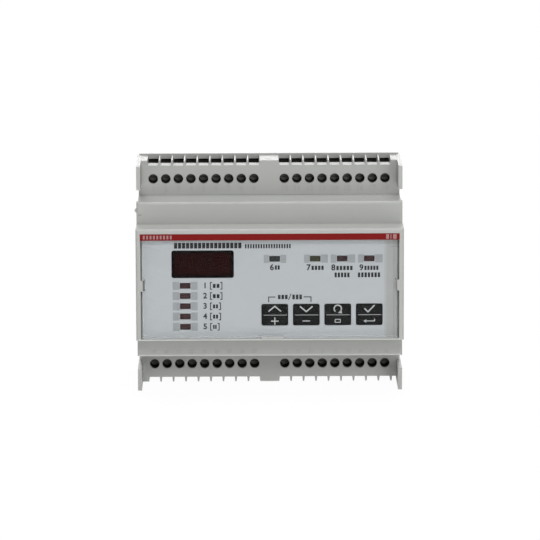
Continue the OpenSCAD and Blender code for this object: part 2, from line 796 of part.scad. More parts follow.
module front_board_screws() {
    color(metal) each_side() for (z = post_z)
        board_screw(post_x, z, front_board_y + board_t, 1);
}

// Board at the back, which carries the terminals and the power parts
module main_board() {
    half_z = lip_z - cover_wall - 0.4;
    color(board_green) difference() {
        along_y(-board_d, -board_d + board_t) round_rect(0, 0, 2 * (inner_half - 0.4), 2 * half_z, 0.5);
        each_side() for (z = [-screw_post_z, screw_post_z])
            rod_y(screw_post_x, z, board_screw_r + 0.3, -board_d - cut, -board_d + board_t + cut);
        for (side = [-1, 1]) each_way(side)
            box([-0.5, -board_d - cut, -0.65], [0.5, -board_d + board_t + cut, 0.65]);
    }
}

module main_board_screws() {
    color(metal) each_side() for (z = [-screw_post_z, screw_post_z])
        board_screw(screw_post_x, z, -board_d, -1);
}

// Board that joins the front board to the main board
module link_board() {
    color(board_green) box([link_x - board_t / 2, front_board_y + board_t + 1.5, -link_half],
        [link_x + board_t / 2, -board_d - 1.5, link_half]);
}

// Socket of the link board, closed towards the board that carries it
module socket(y0, y1, floor_side) {
    wall_t = 1.6;
    slot0 = floor_side > 0 ? y0 - cut : y0 + 1.5;
    slot1 = floor_side > 0 ? y1 - 1.5 : y1 + cut;
    color(dark) difference() {
        box([link_x - board_t / 2 - wall_t, y0, -link_half - wall_t],
            [link_x + board_t / 2 + wall_t, y1, link_half + wall_t]);
        box([link_x - board_t / 2 - fit, slot0, -link_half - fit],
            [link_x + board_t / 2 + fit, slot1, link_half + fit]);
    }
}

module main_socket() {
    socket(-board_d - socket_h, -board_d, 1);
}

module front_socket() {
    socket(front_board_y + board_t, front_board_y + board_t + socket_h, -1);
}

// Mains transformer: core with two windows, winding and bobbin
tf_x = -22;
tf_w = 34;
tf_h = 25;
tf_t = 13;
tf_leg = 10;
tf_yoke = 5;
tf_y = -board_d - 3;
tf_window = (tf_w - tf_leg - 2 * tf_yoke) / 2;
tf_sleeve = 0.7;                // wall of the bobbin round the middle leg
tf_flange = 1;

module transformer_core() {
    color([0.35, 0.35, 0.37]) difference() {
        along_y(tf_y - tf_h, tf_y) round_rect(tf_x, 0, tf_w, tf_t, 0.3);
        for (s = [-1, 1]) translate([tf_x + s * (tf_leg + tf_window) / 2, 0, 0])
            box([-tf_window / 2, tf_y - tf_h + tf_yoke, -tf_t], [tf_window / 2, tf_y - tf_yoke, tf_t]);
    }
}

module transformer_winding() {
    w = tf_leg + 2 * tf_window - 4 * fit;
    h = tf_t + 2 * tf_window - 4 * fit;
    ends = tf_yoke + tf_flange + 2 * fit;
    inner = tf_sleeve + fit;
    color([0.75, 0.6, 0.25]) difference() {
        along_y(tf_y - tf_h + ends, tf_y - ends) round_rect(tf_x, 0, w, h, 2.5);
        box([tf_x - tf_leg / 2 - inner, tf_y - tf_h, -tf_t / 2 - inner],
            [tf_x + tf_leg / 2 + inner, tf_y, tf_t / 2 + inner]);
    }
}

module transformer_bobbin() {
    w = tf_leg + 2 * tf_window - 2 * fit;
    h = tf_t + 2 * tf_window;
    y0 = tf_y - tf_h + tf_yoke + fit;
    y1 = tf_y - tf_yoke - fit;
    rail_z = h / 2 - 2;
    color([0.2, 0.2, 0.22]) difference() {
        union() {
            along_y(y0, y0 + tf_flange) round_rect(tf_x, 0, w, h, 0.5);
            along_y(y1 - tf_flange, y1) round_rect(tf_x, 0, w, h, 0.5);
            along_y(y0, y1) round_rect(tf_x, 0, tf_leg + 2 * tf_sleeve, tf_t + 2 * tf_sleeve, 0.2);
            for (s = [-1, 1])
                box([tf_x - w / 2, y1 - tf_flange, s * rail_z - 2], [tf_x + w / 2, -board_d, s * rail_z + 2]);
        }
        box([tf_x - tf_leg / 2 - fit, y0 - cut, -tf_t / 2 - fit],
            [tf_x + tf_leg / 2 + fit, y1 + tf_yoke + 2 * fit, tf_t / 2 + fit]);
    }
}

// Output relays on short feet
relay_x = 33;
relay_z = 8;
relay_size = [28, 14.7, 10];
relay_foot = 0.8;

module relays() {
    color([0.15, 0.3, 0.5]) for (z = [-relay_z, relay_z]) {
        along_y(-board_d - relay_foot - relay_size[1], -board_d - relay_foot)
            round_rect(relay_x, z, relay_size[0], relay_size[2], 0.6);
        for (i = [-1, 1], j = [-1, 1])
            translate([relay_x + i * (relay_size[0] / 2 - 2), -board_d, z + j * (relay_size[2] / 2 - 1.5)])
                box([-1, -relay_foot - 0.4, -1], [1, 0, 1]);
    }
}

// Can with a rolled groove near its foot, standing on the main board
module can(x, z, r, h) {
    translate([x, -board_d, z]) rotate([90, 0, 0]) rotate_extrude()
        polygon([[0, 0], [r - 0.3, 0], [r, 0.4], [r, 1.6], [r - 0.5, 2.1], [r, 2.6], [r, h - 0.5],
            [r - 0.5, h], [r - 1, h], [r - 1.2, h - 0.3], [0, h - 0.3]]);
}

// Three supply capacitors beside the transformer
can_r = 4;
can_h = 16;
can_pitch = 9.5;

module supply_capacitors() {
    color([0.1, 0.1, 0.3]) for (i = [-1:1])
        can(tf_x - tf_w / 2 - 1 - can_r, i * can_pitch, can_r, can_h);
}

// Two box capacitors, one at each terminal row
film_x = 20;
film_size = [18, 11, 5];

module film_capacitors() {
    color([0.7, 0.15, 0.1]) for (s = [-1, 1])
        along_y(-board_d - film_size[1], -board_d)
            round_rect(film_x, s * (part_row + 0.5), film_size[0], film_size[2], 0.6);
}

// Glass fuse in its two clips
fuse_x = -20;
fuse_r = 2.4;
fuse_l = 20;
fuse_y = -board_d - 4.5;
fuse_cap_r = 2.6;
fuse_cap_l = 4.8;

module fuse() {
    foot = [2, 1.5];
    translate([fuse_x, 0, part_row]) {
        color(metal) for (s = [-1, 1]) translate([s * (fuse_l - fuse_cap_l) / 2, 0, 0]) {
            along_x(-fuse_cap_l / 2, fuse_cap_l / 2) translate([fuse_y, 0]) circle(fuse_cap_r);
            box([-foot[0], fuse_y, -foot[1]], [foot[0], -board_d, foot[1]]);
        }
        color([0.8, 0.85, 0.85]) along_x(-fuse_l / 2, fuse_l / 2) translate([fuse_y, 0]) circle(fuse_r);
    }
}

// Varistor disc on its edge, with its two legs
varistor_x = -2;
varistor_r = 4.9;
varistor_t = 3.4;

module varistor() {
    disc_y = -board_d - 1.2 - varistor_r;
    color([0.1, 0.3, 0.6]) translate([varistor_x, 0, part_row]) {
        along_x(-varistor_t / 2, varistor_t / 2) translate([disc_y, 0]) circle(varistor_r);
        for (s = [-1, 1]) rod_y(0, s * varistor_r / 2, 0.4, -board_d - 3, -board_d);
    }
}

// Bridge rectifier on its edge, below the transformer
rectifier_x = -19;
rectifier_size = [14, 8, 3.4];

module rectifier() {
    color(dark) translate([rectifier_x, -board_d, -part_row - 0.5])
        box([-rectifier_size[0] / 2, -rectifier_size[1], -rectifier_size[2] / 2],
            [rectifier_size[0] / 2, 0, rectifier_size[2] / 2]);
}

// Controller with its rows of legs, on the back of the front board
chip_x = 30;
chip_w = 12;
leg_pitch = 1.2;

module controller_chip() {
    y = front_board_y + board_t;
    color(dark) translate([chip_x, y, 0]) {
        along_y(0.15, 1.5) round_rect(0, 0, chip_w, chip_w, 0.4);
        for (a = [0:90:270], i = [-4:4]) rotate([0, a, 0])
            box([i * leg_pitch - 0.22, 0, chip_w / 2 - 0.2], [i * leg_pitch + 0.22, 0.6, chip_w / 2 + 1.2]);
    }
}

rear_base();
front_housing();
terminal_cover(1);  // terminal_cover_top
terminal_cover(-1);  // terminal_cover_bottom
rail_clip(-clip_x);  // rail_clip_left
rail_clip(clip_x);  // rail_clip_right
front_panel();
printed_film();
red_band();
display_window();
display_module();
clear_cover();
key(0);  // up_key
key(1);  // down_key
key(2);  // reset_key
key(3);  // test_key
plunger(0);  // up_plunger
plunger(1);  // down_plunger
plunger(2);  // reset_plunger
plunger(3);  // test_plunger
key_switches();
unit_lamps();
status_lamp(0, [0.2, 0.3, 0.2]);  // set_lamp
status_lamp(1, [0.4, 0.35, 0.15]);  // alarm_lamp
status_lamp(2, [0.4, 0.15, 0.2]);  // relay_lamp
status_lamp(3, [0.4, 0.15, 0.15]);  // fault_lamp
front_board();
front_board_screws();
main_board();
main_board_screws();
link_board();
main_socket();
front_socket();
transformer_core();
transformer_winding();
transformer_bobbin();
relays();
supply_capacitors();
film_capacitors();
fuse();
varistor();
rectifier();
controller_chip();
terminal_block(1, -1);  // terminal_block_top_left
terminal_block(1, 1);  // terminal_block_top_right
terminal_block(-1, -1);  // terminal_block_bottom_left
terminal_block(-1, 1);  // terminal_block_bottom_right
terminal_screws(1);  // terminal_screws_top
terminal_screws(-1);  // terminal_screws_bottom
clamp_cages(1);  // clamp_cages_top
clamp_cages(-1);  // clamp_cages_bottom
solder_pins(1);  // solder_pins_top
solder_pins(-1);  // solder_pins_bottom
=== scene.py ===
# Looks of the insulation monitoring device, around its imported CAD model. Lengths are in metres.
import math

import bmesh
import bpy
from mathutils import Matrix, Vector


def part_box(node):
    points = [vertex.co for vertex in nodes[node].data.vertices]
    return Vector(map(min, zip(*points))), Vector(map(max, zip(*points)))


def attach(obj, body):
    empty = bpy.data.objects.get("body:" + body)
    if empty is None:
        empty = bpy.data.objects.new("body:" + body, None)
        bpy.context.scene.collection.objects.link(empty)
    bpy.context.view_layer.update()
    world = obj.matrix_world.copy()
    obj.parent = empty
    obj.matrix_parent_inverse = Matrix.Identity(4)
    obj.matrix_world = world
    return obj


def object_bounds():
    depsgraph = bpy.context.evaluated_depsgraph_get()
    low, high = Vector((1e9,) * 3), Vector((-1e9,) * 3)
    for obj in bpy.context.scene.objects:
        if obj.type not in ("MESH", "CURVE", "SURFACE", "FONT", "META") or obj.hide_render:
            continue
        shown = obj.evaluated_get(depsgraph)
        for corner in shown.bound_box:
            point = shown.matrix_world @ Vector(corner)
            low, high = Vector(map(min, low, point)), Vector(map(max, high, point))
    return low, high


MM = 0.001
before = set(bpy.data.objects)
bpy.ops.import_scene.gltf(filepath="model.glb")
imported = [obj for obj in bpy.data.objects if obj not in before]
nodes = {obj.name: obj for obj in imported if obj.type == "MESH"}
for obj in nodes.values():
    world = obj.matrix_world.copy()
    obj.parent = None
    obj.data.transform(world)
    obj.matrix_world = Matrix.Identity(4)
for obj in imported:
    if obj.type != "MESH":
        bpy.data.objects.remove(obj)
cad_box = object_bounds()

# Colours, linear
CASE_GREY = (0.388, 0.394, 0.378)
# Painted highlight on the case's rounded lower edges, in place of light from the floor
LOWER_EDGE_HIGHLIGHT_GREY = (0.54, 0.55, 0.53)
FILM_GREY = (0.388, 0.406, 0.421)
STRIP_GREY = (0.263, 0.278, 0.286)
END_GREY = (0.320, 0.325, 0.323)
END_FADE = (0.355, 0.363, 0.368)
END_LINE = (0.245, 0.248, 0.246)
INK_GREY = (0.012, 0.013, 0.014)
KEY_INK = (0.40, 0.41, 0.41)
KEY_BLACK = (0.0062, 0.0066, 0.0070)
BAND_RED = (0.180, 0.0070, 0.0070)
BAND_INK = (0.30, 0.16, 0.16)
WINDOW_RED = (0.0100, 0.0007, 0.0006)
BORDER_BLACK = (0.0012, 0.0008, 0.0009)
WHITE = (1, 1, 1, 1)
LAMP_COLOURS = {
    "unit_lamps": (0.038, 0.018, 0.020),
    "set_lamp": (0.026, 0.030, 0.029),
    "alarm_lamp": (0.034, 0.036, 0.022),
    "relay_lamp": (0.033, 0.019, 0.022),
    "fault_lamp": (0.037, 0.019, 0.020),
}

# Noise, in cycles per metre
MOTTLING_SCALE = 55.0
GRAIN_SCALE = 2600.0
METAL_SCALE = 900.0


# Shader nodes

def new_material(name):
    """A new material, with its node tree and its Principled shader."""
    mat = bpy.data.materials.new(name)
    mat.use_nodes = True
    tree = mat.node_tree
    return mat, tree, tree.nodes["Principled BSDF"]


def noise(tree, scale, detail=3.0, roughness=0.55):
    """A noise texture on the object's own coordinates, scale in cycles per metre."""
    place = tree.nodes.new("ShaderNodeTexCoord")
    node = tree.nodes.new("ShaderNodeTexNoise")
    node.inputs["Scale"].default_value = scale
    node.inputs["Detail"].default_value = detail
    node.inputs["Roughness"].default_value = roughness
    tree.links.new(place.outputs["Object"], node.inputs["Vector"])
    return node.outputs["Fac"]


def ramp(tree, source, low, high):
    """Colours from low to high as source goes from 0.3 to 0.7."""
    node = tree.nodes.new("ShaderNodeValToRGB")
    node.color_ramp.elements[0].position = 0.3
    node.color_ramp.elements[1].position = 0.7
    node.color_ramp.elements[0].color = (*low, 1.0)
    node.color_ramp.elements[1].color = (*high, 1.0)
    tree.links.new(source, node.inputs["Fac"])
    return node.outputs["Color"]


def bump(tree, shader, height, distance, strength=1.0):
    """Bump of the given distance in metres on the shader."""
    node = tree.nodes.new("ShaderNodeBump")
    node.inputs["Distance"].default_value = distance
    node.inputs["Strength"].default_value = strength
    tree.links.new(height, node.inputs["Height"])
    tree.links.new(node.outputs["Normal"], shader.inputs["Normal"])


def combine(tree, operation, first, second):
    """Result of a Math node on an output and another output or a number."""
    node = tree.nodes.new("ShaderNodeMath")
    node.operation = operation
    tree.links.new(first, node.inputs[0])
    if isinstance(second, float):
        node.inputs[1].default_value = second
    else:
        tree.links.new(second, node.inputs[1])
    return node.outputs["Value"]


def axes(tree, vector):
    """The outputs X, Y and Z of a vector."""
    node = tree.nodes.new("ShaderNodeSeparateXYZ")
    tree.links.new(vector, node.inputs["Vector"])
    return node.outputs


def fade(tree, source, start, end):
    """0 to 1 as source goes from start to end."""
    node = tree.nodes.new("ShaderNodeMapRange")
    node.inputs["From Min"].default_value = start
    node.inputs["From Max"].default_value = end
    tree.links.new(source, node.inputs["Value"])
    return node.outputs["Result"]


def show_mix(tree, output, share, first, second):
    """Shows a mix of two shaders on an output node, from first to second by share."""
    mix = tree.nodes.new("ShaderNodeMixShader")
    tree.links.new(share, mix.inputs["Fac"])
    tree.links.new(first, mix.inputs[1])
    tree.links.new(second, mix.inputs[2])
    tree.links.new(mix.outputs["Shader"], tree.nodes[output].inputs["Surface"])


def spread(colour, share):
    """Colour made darker and lighter by a share."""
    return [c * (1 - share) for c in colour], [min(1.0, c * (1 + share)) for c in colour]


# Materials

def plastic(name, colour, roughness, grain=0.00004, mottling=0.02, specular=0.5):
    """Moulded plastic or print: faint mottling of the colour and a fine grain."""
    mat, tree, shader = new_material(name)
    cloud = noise(tree, MOTTLING_SCALE)
    tree.links.new(ramp(tree, cloud, *spread(colour, mottling)), shader.inputs["Base Color"])
    shader.inputs["Roughness"].default_value = roughness
    shader.inputs["Specular IOR Level"].default_value = specular
    bump(tree, shader, noise(tree, GRAIN_SCALE, detail=2.0), grain, 0.5)
    return mat


def label_print(name, colour, mottling=0.02):
    """The film or grey print on it, which share one sheen."""
    return plastic(name, colour, 0.38, grain=0.00001, mottling=mottling, specular=0.3)


def paint_lower_edge_highlight(material, colour):
    """Painted highlight: makes the colour paler where a face looks down and to the front, in place of the
    light from the floor that the rounded lower edges catch.
    """
    tree = material.node_tree
    shader = tree.nodes["Principled BSDF"]
    plain = shader.inputs["Base Color"].links[0].from_socket
    facing = axes(tree, tree.nodes.new("ShaderNodeNewGeometry").outputs["Normal"])
    downward = fade(tree, facing["Z"], -0.15, -0.55)
    forward = fade(tree, facing["Y"], -0.05, -0.25)
    mix = tree.nodes.new("ShaderNodeMix")
    mix.data_type = "RGBA"
    tree.links.new(combine(tree, "MULTIPLY", downward, forward), mix.inputs["Factor"])
    tree.links.new(plain, mix.inputs["A"])
    mix.inputs["B"].default_value = (*colour, 1.0)
    tree.links.new(mix.outputs["Result"], shader.inputs["Base Color"])


def metal(name, colour, roughness):
    """Plated metal with a fine uneven surface."""
    mat, tree, shader = new_material(name)
    cloud = noise(tree, METAL_SCALE)
    tree.links.new(ramp(tree, cloud, *spread(colour, 0.12)), shader.inputs["Base Color"])
    shader.inputs["Metallic"].default_value = 1.0
    shader.inputs["Roughness"].default_value = roughness
    bump(tree, shader, cloud, 0.00002)
    return mat


def clear_plastic(name):
    """Clear plastic that lets lamps through. Its low index keeps the edges of the thin sheet faint."""
    mat, tree, shader = new_material(name)
    shader.inputs["Base Color"].default_value = (0.985, 0.99, 0.99, 1.0)
    shader.inputs["Transmission Weight"].default_value = 1.0
    shader.inputs["Roughness"].default_value = 0.02
    shader.inputs["IOR"].default_value = 1.10
    path = tree.nodes.new("ShaderNodeLightPath")
    through = tree.nodes.new("ShaderNodeBsdfTransparent")
    through.inputs["Color"].default_value = (0.96, 0.965, 0.965, 1.0)
    show_mix(tree, "Material Output", path.outputs["Is Shadow Ray"],
             shader.outputs["BSDF"], through.outputs["BSDF"])
    return mat


def circuit_board(name):
    """Green solder mask with a faint pattern of tracks."""
    mat, tree, shader = new_material(name)
    place = tree.nodes.new("ShaderNodeTexCoord")
    turn = tree.nodes.new("ShaderNodeMapping")
    turn.inputs["Rotation"].default_value = (math.radians(90), 0, 0)
    tracks = tree.nodes.new("ShaderNodeTexBrick")
    tracks.inputs["Scale"].default_value = 160.0
    tracks.inputs["Color1"].default_value = (0.012, 0.085, 0.035, 1)
    tracks.inputs["Color2"].default_value = (0.016, 0.110, 0.046, 1)
    tracks.inputs["Mortar"].default_value = (0.030, 0.160, 0.070, 1)
    tracks.inputs["Mortar Size"].default_value = 0.03
    tree.links.new(place.outputs["Object"], turn.inputs["Vector"])
    tree.links.new(turn.outputs["Vector"], tracks.inputs["Vector"])
    tree.links.new(tracks.outputs["Color"], shader.inputs["Base Color"])
    shader.inputs["Roughness"].default_value = 0.3
    bump(tree, shader, tracks.outputs["Fac"], 0.00003)
    return mat


def paint(material, *names):
    """Gives CAD nodes their material."""
    for name in names:
        slots = nodes[name].data.materials
        if len(slots) == 0:
            slots.append(material)
        for i in range(len(slots)):
            slots[i] = material


case_mat = plastic("case_plastic", CASE_GREY, 0.46)
# Painted highlight on the case's edges that face down and to the front
paint_lower_edge_highlight(case_mat, LOWER_EDGE_HIGHLIGHT_GREY)
film_mat = label_print("film_plastic", FILM_GREY, 0.008)
panel_mat = plastic("panel_plastic", CASE_GREY, 0.5)
band_mat = plastic("band_print", BAND_RED, 0.38, grain=0.00001, mottling=0.01, specular=0.08)
window_mat = plastic("window_plastic", WINDOW_RED, 0.16, grain=0.000002, mottling=0.04, specular=0.06)
border_mat = plastic("border_ink", BORDER_BLACK, 0.3, grain=0.000002, specular=0.06)
key_mat = plastic("key_plastic", KEY_BLACK, 0.42, grain=0.00001, mottling=0.03, specular=0.1)
black_mat = plastic("black_plastic", (0.012, 0.012, 0.012), 0.55, mottling=0.1)
block_mat = plastic("block_plastic", (0.017, 0.018, 0.016), 0.6, mottling=0.1, specular=0.2)
clip_mat = plastic("clip_plastic", (0.018, 0.019, 0.020), 0.4, mottling=0.05)
ink_mat = plastic("print_ink", INK_GREY, 0.5, grain=0.000005, mottling=0.03, specular=0.3)
key_ink_mat = plastic("key_ink", KEY_INK, 0.5, grain=0.000005, mottling=0.03)
band_ink_mat = plastic("band_ink", BAND_INK, 0.5, grain=0.000005, mottling=0.03)
strip_mat = label_print("strip_print", STRIP_GREY, 0.008)
end_mat = label_print("label_end_print", END_GREY)
end_fade_mat = label_print("label_end_fade", END_FADE)
end_line_mat = label_print("label_end_line", END_LINE)
relief_mat = plastic("relief_plastic", [0.93 * c for c in CASE_GREY], 0.46)
clear_mat = clear_plastic("clear_plastic")
board_mat = circuit_board("board_mask")
steel_mat = metal("plated_steel", (0.52, 0.51, 0.49), 0.32)
screw_mat = metal("screw_steel", (0.12, 0.12, 0.11), 0.5)
core_mat = metal("core_iron", (0.16, 0.16, 0.17), 0.5)

paint(case_mat, "rear_base", "front_housing", "terminal_cover_top", "terminal_cover_bottom")
paint(film_mat, "printed_film")
paint(panel_mat, "front_panel")
paint(band_mat, "red_band")
paint(window_mat, "display_window")
paint(key_mat, "up_key", "down_key", "reset_key", "test_key")
paint(black_mat, "display_module", "key_switches", "up_plunger", "down_plunger", "reset_plunger",
      "test_plunger", "main_socket", "front_socket", "transformer_bobbin", "rectifier", "controller_chip")
paint(block_mat, *[f"terminal_block_{row}_{side}" for row in ("top", "bottom") for side in ("left", "right")])
paint(clip_mat, "rail_clip_left", "rail_clip_right")
paint(clear_mat, "clear_cover")
paint(board_mat, "front_board", "main_board", "link_board")
paint(steel_mat, "front_board_screws", "main_board_screws", "clamp_cages_top", "clamp_cages_bottom",
      "solder_pins_top", "solder_pins_bottom")
paint(screw_mat, "terminal_screws_top", "terminal_screws_bottom")
paint(core_mat, "transformer_core")
paint(plastic("winding_tape", (0.50, 0.33, 0.06), 0.35), "transformer_winding")
paint(plastic("relay_case", (0.02, 0.06, 0.20), 0.35), "relays")
paint(plastic("can_sleeve", (0.008, 0.010, 0.05), 0.3), "supply_capacitors")
paint(plastic("capacitor_case", (0.35, 0.03, 0.02), 0.3), "film_capacitors")
paint(plastic("varistor_coat", (0.02, 0.08, 0.28), 0.45), "varistor")
paint(plastic("fuse_body", (0.62, 0.64, 0.64), 0.2), "fuse")
for lamp, colour in LAMP_COLOURS.items():
    paint(plastic(f"{lamp}_plastic", colour, 0.3, grain=0.00002, mottling=0.12, specular=0.15), lamp)


# Printed and raised shapes, as thin plates on the face that carries them. Lengths here are in millimetres.

INK = 0.03      # thickness of print
RELIEF = 0.12   # height of the raised numbers
SINK = 0.01     # how deep a plate sits in its face

DIGIT_SHARE = 0.7   # height of a digit as a share of the font's size
BOLD = 0.04         # how far a digit's outline grows, as a share of its height


class Plate:
    """Flat shapes in X and Z on a face at y, gathered into one thin piece that rides on a body."""

    def __init__(self, name, y, body, material, thick=INK):
        self.name, self.body, self.material = name, body, material
        self.front, self.back = y - thick, y + SINK
        self.verts, self.faces = [], []

    def prism(self, outline):
        """Adds one plain outline, listed anticlockwise as seen from the front."""
        n = len(outline)
        base = len(self.verts)
        for y in (self.front, self.back):
            self.verts += [(x, y, z) for x, z in outline]
        self.faces.append([base + i for i in range(n)])
        self.faces.append([base + n + i for i in reversed(range(n))])
        for i in range(n):
            j = (i + 1) % n
            self.faces.append([base + i, base + n + i, base + n + j, base + j])

    def bar(self, x0, x1, z0, z1):
        """An upright rectangle."""
        self.prism([(x0, z0), (x1, z0), (x1, z1), (x0, z1)])

    def bars(self, x0, x1, z, height, count, share=0.7):
        """A row of equal blocks from x0 to x1 about z, that fill a share of their pitch."""
        pitch = (x1 - x0) / (count - 1 + share)
        for i in range(count):
            start = x0 + i * pitch
            self.bar(start, start + share * pitch, z - height / 2, z + height / 2)

    def stroke(self, points, width):
        """A line of even width through points, with mitred corners."""
        path = [Vector(p) for p in points]
        left, right = [], []
        for i, here in enumerate(path):
            before = (here - path[i - 1]).normalized() if i else None
            after = (path[i + 1] - here).normalized() if i + 1 < len(path) else None
            run = ((before or after) + (after or before)).normalized()
            side = Vector((-run.y, run.x))
            edge = before or after
            reach = width / 2 / max(0.3, side.dot(Vector((-edge.y, edge.x))))
            left.append(here + side * reach)
            right.append(here - side * reach)
        self.prism([tuple(p) for p in right + left[::-1]])

    def arc(self, centre, radius, width, start, end, steps=20):
        """Part of a ring, angles in degrees and anticlockwise."""
        turns = [math.radians(start + (end - start) * i / steps) for i in range(steps + 1)]

        def along(r, angles):
            """Points at a distance r from the centre."""
            return [(centre[0] + r * math.cos(t), centre[1] + r * math.sin(t)) for t in angles]

        self.prism(along(radius + width / 2, turns) + along(radius - width / 2, turns[::-1]))

    def ring(self, outer, inner):
        """The band between two outlines of as many points each."""
        n = len(outer)
        base = len(self.verts)
        for y in (self.front, self.back):
            self.verts += [(x, y, z) for x, z in outer + inner]
        for i in range(n):
            j = (i + 1) % n
            a, b, c, d = base + i, base + j, base + n + j, base + n + i
            back = 2 * n
            self.faces += [[a, b, c, d], [a + back, d + back, c + back, b + back],
                           [a, a + back, b + back, b], [d, c, c + back, d + back]]

    def number(self, text, centre, height):
        """Plain digits about a centre."""
        curve = bpy.data.curves.new("digits", "FONT")
        curve.body = text
        curve.size = height / DIGIT_SHARE
        curve.align_x, curve.align_y = "CENTER", "CENTER"
        curve.resolution_u = 3
        curve.offset = BOLD * height
        curve.extrude = 0.5
        holder = bpy.data.objects.new("digits", curve)
        bpy.context.scene.collection.objects.link(holder)
        made = holder.evaluated_get(bpy.context.evaluated_depsgraph_get())
        solid = bpy.data.meshes.new_from_object(made)
        shape = bmesh.new()
        shape.from_mesh(solid)
        bmesh.ops.remove_doubles(shape, verts=shape.verts, dist=0.001)
        base = len(self.verts)
        shape.verts.index_update()
        for v in shape.verts:
            y = self.front if v.co.z > 0 else self.back
            self.verts.append((centre[0] + v.co.x, y, centre[1] + v.co.y))
        for face in shape.faces:
            self.faces.append([base + v.index for v in face.verts])
        shape.free()
        bpy.data.objects.remove(holder)
        bpy.data.meshes.remove(solid)

    def build(self):
        """Makes the piece."""
        mesh = bpy.data.meshes.new(self.name)
        mesh.from_pydata([(x * MM, y * MM, z * MM) for x, y, z in self.verts], [], self.faces)
        mesh.materials.append(self.material)
        mesh.update()
        piece = bpy.data.objects.new(self.name, mesh)
        bpy.context.scene.collection.objects.link(piece)
        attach(piece, self.body)


def box_mm(node):
    """Lowest and highest corner of a node."""
    low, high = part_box(node)
    return [c / MM for c in low], [c / MM for c in high]


def middle(node):
    """Middle of a node in X and Z."""
    low, high = box_mm(node)
    return (low[0] + high[0]) / 2, (low[2] + high[2]) / 2


def rounded(x0, z0, x1, z1, radius, inset=0.0, steps=5):
    """Outline of a rectangle with round corners, drawn in by an inset."""
    x0, z0, x1, z1 = x0 + inset, z0 + inset, x1 - inset, z1 - inset
    r = max(radius - inset, 0.15)
    corners = ((x1 - r, z0 + r, -90), (x1 - r, z1 - r, 0), (x0 + r, z1 - r, 90), (x0 + r, z0 + r, 180))
    return [(cx + r * math.cos(math.radians(start + 90 * i / steps)),
             cz + r * math.sin(math.radians(start + 90 * i / steps)))
            for cx, cz, start in corners for i in range(steps + 1)]


def cross(x, z, half, bar):
    """Outline of a plus sign."""
    quarter = [(half, -bar), (half, bar), (bar, bar)]
    points = []
    for c, s in ((1, 0), (0, 1), (-1, 0), (0, -1)):
        points += [(x + c * a - s * b, z + s * a + c * b) for a, b in quarter]
    return points


def column_levels():
    """Height of each lamp of the column of unit lamps, from the top."""
    count = 5
    low, high = box_mm("unit_lamps")
    lamp_low, lamp_high = box_mm("set_lamp")
    half = (lamp_high[2] - lamp_low[2]) / 2
    step = (high[2] - low[2] - 2 * half) / (count - 1)
    return [high[2] - half - i * step for i in range(count)]


# Front of the lower shoulder, which carries the lower numbers
LOWER_SHOULDER_Y = -40.5

# Strips beside a lamp: where they start from its middle, half their height, and their ends at left and right
STRIP_START = 2.3
STRIP_HALF = 1.65
COLUMN_STRIP = (5.0, 4.9)
STATUS_STRIPS = {
    "set_lamp": (4.3, 4.6),
    "alarm_lamp": (4.4, 5.1),
    "relay_lamp": (4.5, 5.2),
    "fault_lamp": (4.5, 5.3),
}

# Rows of blocks above the display: start, end, Z of the middle, height, count and share
HEADER_ROWS = ((-37.9, -11.2, 15.4, 2.2, 17, 0.8), (-9.8, 8.3, 15.1, 1.7, 18, 0.6))

# Captions of the column: a number, and two blocks between square brackets that are so far apart
COLUMN_NUMBER_X = -25.7
COLUMN_BRACKET_X = -23.6
COLUMN_BRACKET_WIDTHS = (4.6, 4.6, 4.0, 4.0, 3.4)

# Captions of the status lamps: number, its X from the middle of the lamp and its Z, then rows of blocks
# as start and end from the middle of the lamp, Z of the middle, height and count
STATUS_CAPTIONS = (
    ("set_lamp", "6", -1.1, 6.5, ((0.1, 2.0, 6.5, 1.7, 2),)),
    ("alarm_lamp", "7", -2.6, 6.4, ((-1.4, 3.4, 6.3, 1.7, 4),)),
    ("relay_lamp", "8", -3.5, 6.3, ((-2.3, 4.1, 6.2, 1.7, 5), (-3.0, 2.9, 3.4, 1.9, 5))),
    ("fault_lamp", "9", -3.1, 6.3, ((-1.9, 3.6, 6.2, 1.7, 5), (-4.5, 4.3, 3.4, 1.9, 7))),
)

# Caption above the two left keys: outer and inner end of the line at each side, and rows of three blocks
# as start, end and height
KEY_CAPTION_Z = -5.4
KEY_CAPTION_LINES = ((-0.5, 2.2), (16.3, 13.4))
KEY_CAPTION_ROWS = ((3.2, 7.0, 1.7), (8.9, 12.7, 1.9))

KEY_LINE = 0.5      # width of the lines of the signs on the keys
KEY_SPLIT = 5.15    # from the top of a key to the line across it

# Bars on the band: distance from its right end and width
BAND_BARS = ((5.3, 1.1), (3.6, 0.35), (2.6, 1.4))

# Pieces of the label's right end: name, material and spans as distances from its right end
LABEL_END = (
    ("label_end", end_mat, ((4.4, 1.55), (1.3, 0.05))),
    ("label_end_fade", end_fade_mat, ((5.3, 4.4),)),
    ("label_end_line", end_line_mat, ((1.55, 1.3),)),
)

film_low, film_high = box_mm("printed_film")
film_y = film_low[1]
lamp_levels = column_levels()


def display_border():
    """Black border of the display window, printed a little over the film around it."""
    left, right, below, above = 0.05, 0.14, 0.1, 0.2
    width = 1.0
    low, high = box_mm("display_window")
    border = Plate("display_border", low[1], "case", border_mat)
    border.ring(rounded(low[0] - left, low[2] - below, high[0] + right, high[2] + above, 0.9),
                rounded(low[0], low[2], high[0], high[2], 0.8, width))
    border.build()


def label_end():
    """Plain grey right end of the label, with a soft edge and a thin line."""
    base, top = film_low[2] + 0.05, film_high[2] - 0.05
    for name, material, spans in LABEL_END:
        plate = Plate(name, film_y, "case", material)
        for start, end in spans:
            plate.bar(film_high[0] - start, film_high[0] - end, base, top)
        plate.build()


